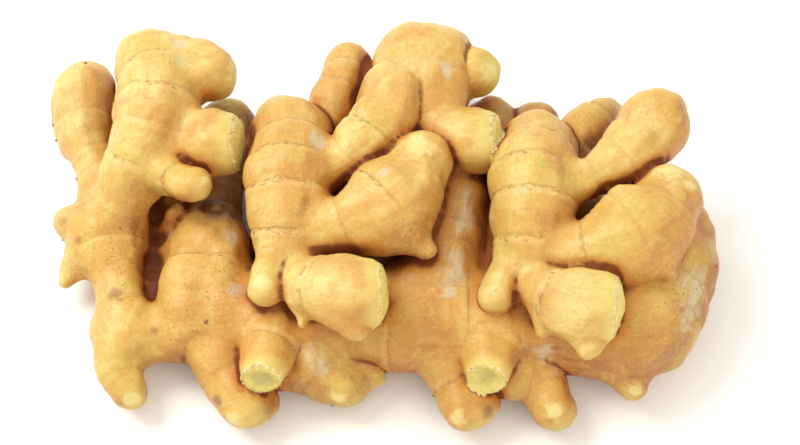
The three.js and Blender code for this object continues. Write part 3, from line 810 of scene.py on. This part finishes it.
    # snapped ends show the flesh inside a thin torn rim
    dots = n.noise(n.stretch(straight, skinPattern["dots"]), 1.0, 2.0)
    flesh = n.mix(n.part(dots, 0.5, 0.7, 0.45), look["flesh"], look["fleshDark"])
    over(n.part(rim, 7.0, 1.0, 0.7), "tip")
    worn = n.part(n.math("ADD", weathered, ragged), 0.2, 1.0, 0.75)
    flesh = n.mix(worn, flesh, look["weathered"])
    colour = n.mix(n.ramp(snapped, 0.1, 0.8), colour, flesh)
    edge = n.part(n.math("ABSOLUTE", n.math("SUBTRACT", snapped, 0.45)), 0.4, 0.1, 0.75)
    over(edge, "rimPale")

    rough = n.math("ADD", look["roughness"], n.swing(patch, 0.24))
    rough = n.math("ADD", rough, n.math("MULTIPLY", shadeCore, 0.3))
    rough = n.math("ADD", rough, n.math("MULTIPLY", paper, 0.25), clamp=True)
    height = n.math("MULTIPLY", fibre, 0.45)
    for pattern, share in ((hair, 0.15), (patch, 1.2), (hoop, 0.22), (blotch, 0.9), (grain, 0.2),
                           (line, -0.9), (sheath, 0.35), (flaky, 0.9)):
        height = n.math("MULTIPLY_ADD", pattern, share, height)
    bump = n.add("ShaderNodeBump", {
        "Strength": look["bump"], "Distance": look["bumpDistance"], "Height": height})

    n.fill(bsdf, {
        "Base Color": colour, "Roughness": rough, "Normal": bump.outputs["Normal"],
        "Specular IOR Level": look["specular"], "Coat Roughness": look["coatRoughness"],
        "Coat Weight": n.math("MULTIPLY_ADD", shadeHalo, -look["coat"], look["coat"]),
        "Subsurface Weight": look["subsurface"], "Subsurface Scale": look["subsurfaceScale"],
        "Subsurface Radius": look["subsurfaceRadius"],
    })
    return material


body.data.materials.append(skinMaterial())
print("skin material made")


def plainFinish(name, light, dark, roughness, subsurface):
    # a dry finish of two colours for the small pieces on the skin
    material = bpy.data.materials.new(name)
    material.use_nodes = True
    n = Nodes(material.node_tree)
    bsdf = material.node_tree.nodes["Principled BSDF"]
    mottle = n.add("ShaderNodeGroup", node_tree=skinMottle)
    n.fill(mottle, {"Place": n.add("ShaderNodeTexCoord").outputs["Object"]})
    grain = mottle.outputs["Grain"]
    share = n.math("MULTIPLY_ADD", mottle.outputs["Blotch"], 0.7, n.math("MULTIPLY", grain, 0.3))
    bump = n.add("ShaderNodeBump", {"Strength": 0.4, "Distance": 0.0003, "Height": grain})
    n.fill(bsdf, {
        "Base Color": n.mix(n.ramp(share, 0.38, 0.62), dark, light), "Roughness": roughness,
        "Normal": bump.outputs["Normal"], "Subsurface Weight": subsurface, "Subsurface Scale": 0.002,
    })
    return material


def scatterTree(title, sizes, shape, material):
    # one small shape set on every point, lying along "outward" and "growWay"
    tree = bpy.data.node_groups.new(title, "GeometryNodeTree")
    tree.interface.new_socket("Geometry", in_out="INPUT", socket_type="NodeSocketGeometry")
    for name, value in sizes.items():
        socket = tree.interface.new_socket(name, in_out="INPUT", socket_type="NodeSocketFloat")
        socket.default_value = value
    tree.interface.new_socket("Geometry", in_out="OUTPUT", socket_type="NodeSocketGeometry")
    n = Nodes(tree)
    given = n.add("NodeGroupInput")

    def named(attribute):
        node = n.add("GeometryNodeInputNamedAttribute", data_type="FLOAT_VECTOR")
        n.fill(node, {"Name": attribute})
        return node.outputs["Attribute"]

    def between(low, high, seed):
        return n.add("FunctionNodeRandomValue", {2: low, 3: high, "Seed": seed}, data_type="FLOAT").outputs[1]

    if shape == "flake":
        solid = n.add("GeometryNodeMeshUVSphere", {"Segments": 8, "Rings": 4, "Radius": 0.5})
    else:
        solid = n.add("GeometryNodeMeshCone", {
            "Vertices": 9, "Radius Top": 0.3, "Radius Bottom": 0.5, "Depth": 1.0})
    upright = n.add("FunctionNodeAlignRotationToVector", {"Vector": named("outward")}, axis="Z")
    along = n.add("FunctionNodeAlignRotationToVector", {
        "Rotation": upright.outputs[0], "Vector": named("growWay")}, axis="X", pivot_axis="Z")
    lean = n.add("ShaderNodeCombineXYZ", {
        "X": between(-0.25, 0.25, 3), "Z": between(-0.5, 0.5, 7),
        "Y": n.math("MULTIPLY", given.outputs["Lift"], between(-0.4, -1.4, 5))})
    tilt = n.add("FunctionNodeEulerToRotation", {0: lean.outputs[0]})
    turned = n.add("FunctionNodeRotateRotation", {
        0: along.outputs[0], 1: tilt.outputs[0]}, rotation_space="LOCAL")
    scale = n.add("ShaderNodeCombineXYZ", {
        "X": n.math("MULTIPLY", given.outputs["Length"], between(0.6, 1.3, 11)),
        "Y": n.math("MULTIPLY", given.outputs["Width"], between(0.6, 1.4, 13)),
        "Z": given.outputs["Thickness"]})
    placed = n.add("GeometryNodeInstanceOnPoints", {
        "Points": given.outputs["Geometry"], "Instance": solid.outputs["Mesh"],
        "Rotation": turned.outputs[0], "Scale": scale.outputs[0]})
    smooth = n.add("GeometryNodeSetShadeSmooth", {"Geometry": placed.outputs["Instances"]})
    real = n.add("GeometryNodeRealizeInstances", {"Geometry": smooth.outputs["Geometry"]})
    finish = n.add("GeometryNodeSetMaterial", {"Geometry": real.outputs["Geometry"], "Material": material})
    n.add("NodeGroupOutput", {"Geometry": finish.outputs["Geometry"]})
    return tree


def scatter(name, chosen, sizes, shape, material):
    # small shapes on the chosen skin points, made into a plain mesh
    seeds = bpy.data.meshes.new(name + "Seeds")
    seeds.from_pydata(skinPoints[chosen].tolist(), [], [])
    addAttribute(seeds, "outward", skinMarks["outward"][chosen])
    addAttribute(seeds, "growWay", skinMarks["growWay"][chosen])
    piece = bpy.data.objects.new(name, seeds)
    bpy.context.scene.collection.objects.link(piece)
    tree = scatterTree(name + "Nodes", sizes, shape, material)
    modifier = piece.modifiers.new(name, "NODES")
    modifier.node_group = tree
    for socket in tree.interface.items_tree:
        if socket.in_out == "INPUT" and socket.name in sizes:
            modifier[socket.identifier] = sizes[socket.name]
    drawn = piece.evaluated_get(bpy.context.evaluated_depsgraph_get())
    plain = bpy.data.meshes.new_from_object(drawn)
    piece.modifiers.clear()
    piece.data = plain
    plain.name = name
    print(name, len(chosen), "set,", len(plain.polygons), "faces")
    return piece


def chooseFew(mask, count, seed):
    places = np.where(mask)[0]
    return np.random.RandomState(seed).permutation(places)[:count]


# Papery edges left standing along the leaf scars. Sizes in metres, lift in radians.
sheathEdge = {
    "count": 240, "seed": 4, "light": (0.62, 0.40, 0.12), "dark": (0.52, 0.30, 0.08),
    "sizes": {"Length": 0.0009, "Width": 0.0030, "Thickness": 0.00008, "Lift": 0.02},
}
onScar = (np.abs(skinMarks["scarGap"] + 0.7) < 0.75) & (skinMarks["clear"] > 0.45) \
    & (skinMarks["shade"] < 0.1) & (skinMarks["touch"] > 5) & (skinPoints[:, 2] > 0.006)
sheathEdges = scatter(
    "sheathEdges", chooseFew(onScar, sheathEdge["count"], sheathEdge["seed"]), sheathEdge["sizes"], "flake",
    plainFinish("sheathPaper", sheathEdge["light"], sheathEdge["dark"], 0.55, 0.1))

# Torn skin round the snapped ends.
tornEdge = {
    "count": 620, "seed": 9, "light": (0.74, 0.60, 0.27), "dark": (0.60, 0.41, 0.13),
    "sizes": {"Length": 0.0013, "Width": 0.0012, "Thickness": 0.00014, "Lift": 0.4},
}
onRim = (skinMarks["snapped"] > 0.15) & (skinMarks["snapped"] < 0.75)
tornEdges = scatter(
    "tornEdges", chooseFew(onRim, tornEdge["count"], tornEdge["seed"]), tornEdge["sizes"], "flake",
    plainFinish("tornSkin", tornEdge["light"], tornEdge["dark"], 0.6, 0.1))

# Stumps of the thin feeding roots, mostly low down.
rootStump = {
    "count": 30, "seed": 12, "light": (0.52, 0.31, 0.12), "dark": (0.26, 0.11, 0.035),
    "sizes": {"Length": 0.0013, "Width": 0.0013, "Thickness": 0.0006, "Lift": 0.1},
}
lowDown = (skinPoints[:, 2] < 0.030) & (skinPoints[:, 2] > 0.005) & (skinMarks["crease"] < 0.2) \
    & (skinMarks["snapped"] < 0.05) & (skinMarks["tip"] < 0.6) & (skinMarks["shade"] < 0.2)
rootStumps = scatter(
    "rootStumps", chooseFew(lowDown, rootStump["count"], rootStump["seed"]), rootStump["sizes"], "stump",
    plainFinish("rootStumpBark", rootStump["light"], rootStump["dark"], 0.7, 0.0))

studio = {
    "floorColour": (0.93, 0.93, 0.92), "floorSize": 6.0, "worldStrength": 1.0,
    "worldColour": (1.0, 0.985, 0.96), "lens": 85.0, "elevation": 60.0, "distance": 0.680,
    "aim": (0.005, 0.0075, 0.025), "lampsAim": (0, 0, 0.03),
    # place, size in metres, power in watts, colour
    "softboxes": {
        "keySoftbox": ((-0.75, 0.35, 1.05), 0.8, 13.0, (1.0, 0.975, 0.93)),
        "fillSoftbox": ((0.8, -0.9, 0.9), 1.0, 5.0, (1.0, 0.84, 0.64)),
    },
}


def makeFloor():
    mesh = bpy.data.meshes.new("studioFloor")
    builder = bmesh.new()
    bmesh.ops.create_grid(builder, x_segments=1, y_segments=1, size=studio["floorSize"] / 2)
    builder.to_mesh(mesh)
    builder.free()
    floor = bpy.data.objects.new("studioFloor", mesh)
    bpy.context.scene.collection.objects.link(floor)
    material = bpy.data.materials.new("studioPaper")
    material.use_nodes = True
    paper = material.node_tree.nodes["Principled BSDF"]
    paper.inputs["Base Color"].default_value = (*studio["floorColour"], 1.0)
    paper.inputs["Roughness"].default_value = 0.9
    paper.inputs["Specular IOR Level"].default_value = 0.1
    mesh.materials.append(material)


def makeLight(name, place, size, power, colour):
    data = bpy.data.lights.new(name, "AREA")
    data.shape = "DISK"
    data.size = size
    data.energy = power
    data.color = colour
    light = bpy.data.objects.new(name, data)
    light.location = place
    light.rotation_euler = (Vector(studio["lampsAim"]) - Vector(place)).to_track_quat("-Z", "Y").to_euler()
    bpy.context.scene.collection.objects.link(light)


def makeCamera():
    data = bpy.data.cameras.new("studioCamera")
    data.lens = studio["lens"]
    data.sensor_width = 36.0
    data.clip_start = 0.01
    camera = bpy.data.objects.new("studioCamera", data)
    lift = math.radians(studio["elevation"])
    back = Vector((0, -math.cos(lift), math.sin(lift)))
    aim = Vector(studio["aim"]) + Vector(gingerRoot["shift"]) / 1000
    camera.location = aim + back * studio["distance"]
    camera.rotation_euler = (math.radians(90 - studio["elevation"]), 0, 0)
    bpy.context.scene.collection.objects.link(camera)
    bpy.context.scene.camera = camera


def makeWorld():
    world = bpy.data.worlds.new("studioAir")
    bpy.context.scene.world = world
    world.use_nodes = True
    air = world.node_tree.nodes["Background"]
    air.inputs["Color"].default_value = (*studio["worldColour"], 1.0)
    air.inputs["Strength"].default_value = studio["worldStrength"]


makeFloor()
for name, values in studio["softboxes"].items():
    makeLight(name, *values)
makeWorld()
makeCamera()
bpy.context.scene.view_settings.view_transform = "Standard"
print("studio set")

for piece in (body, sheathEdges, tornEdges, rootStumps):
    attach(piece, "root")
    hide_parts("ginger_root")
bpy.context.view_layer.update()
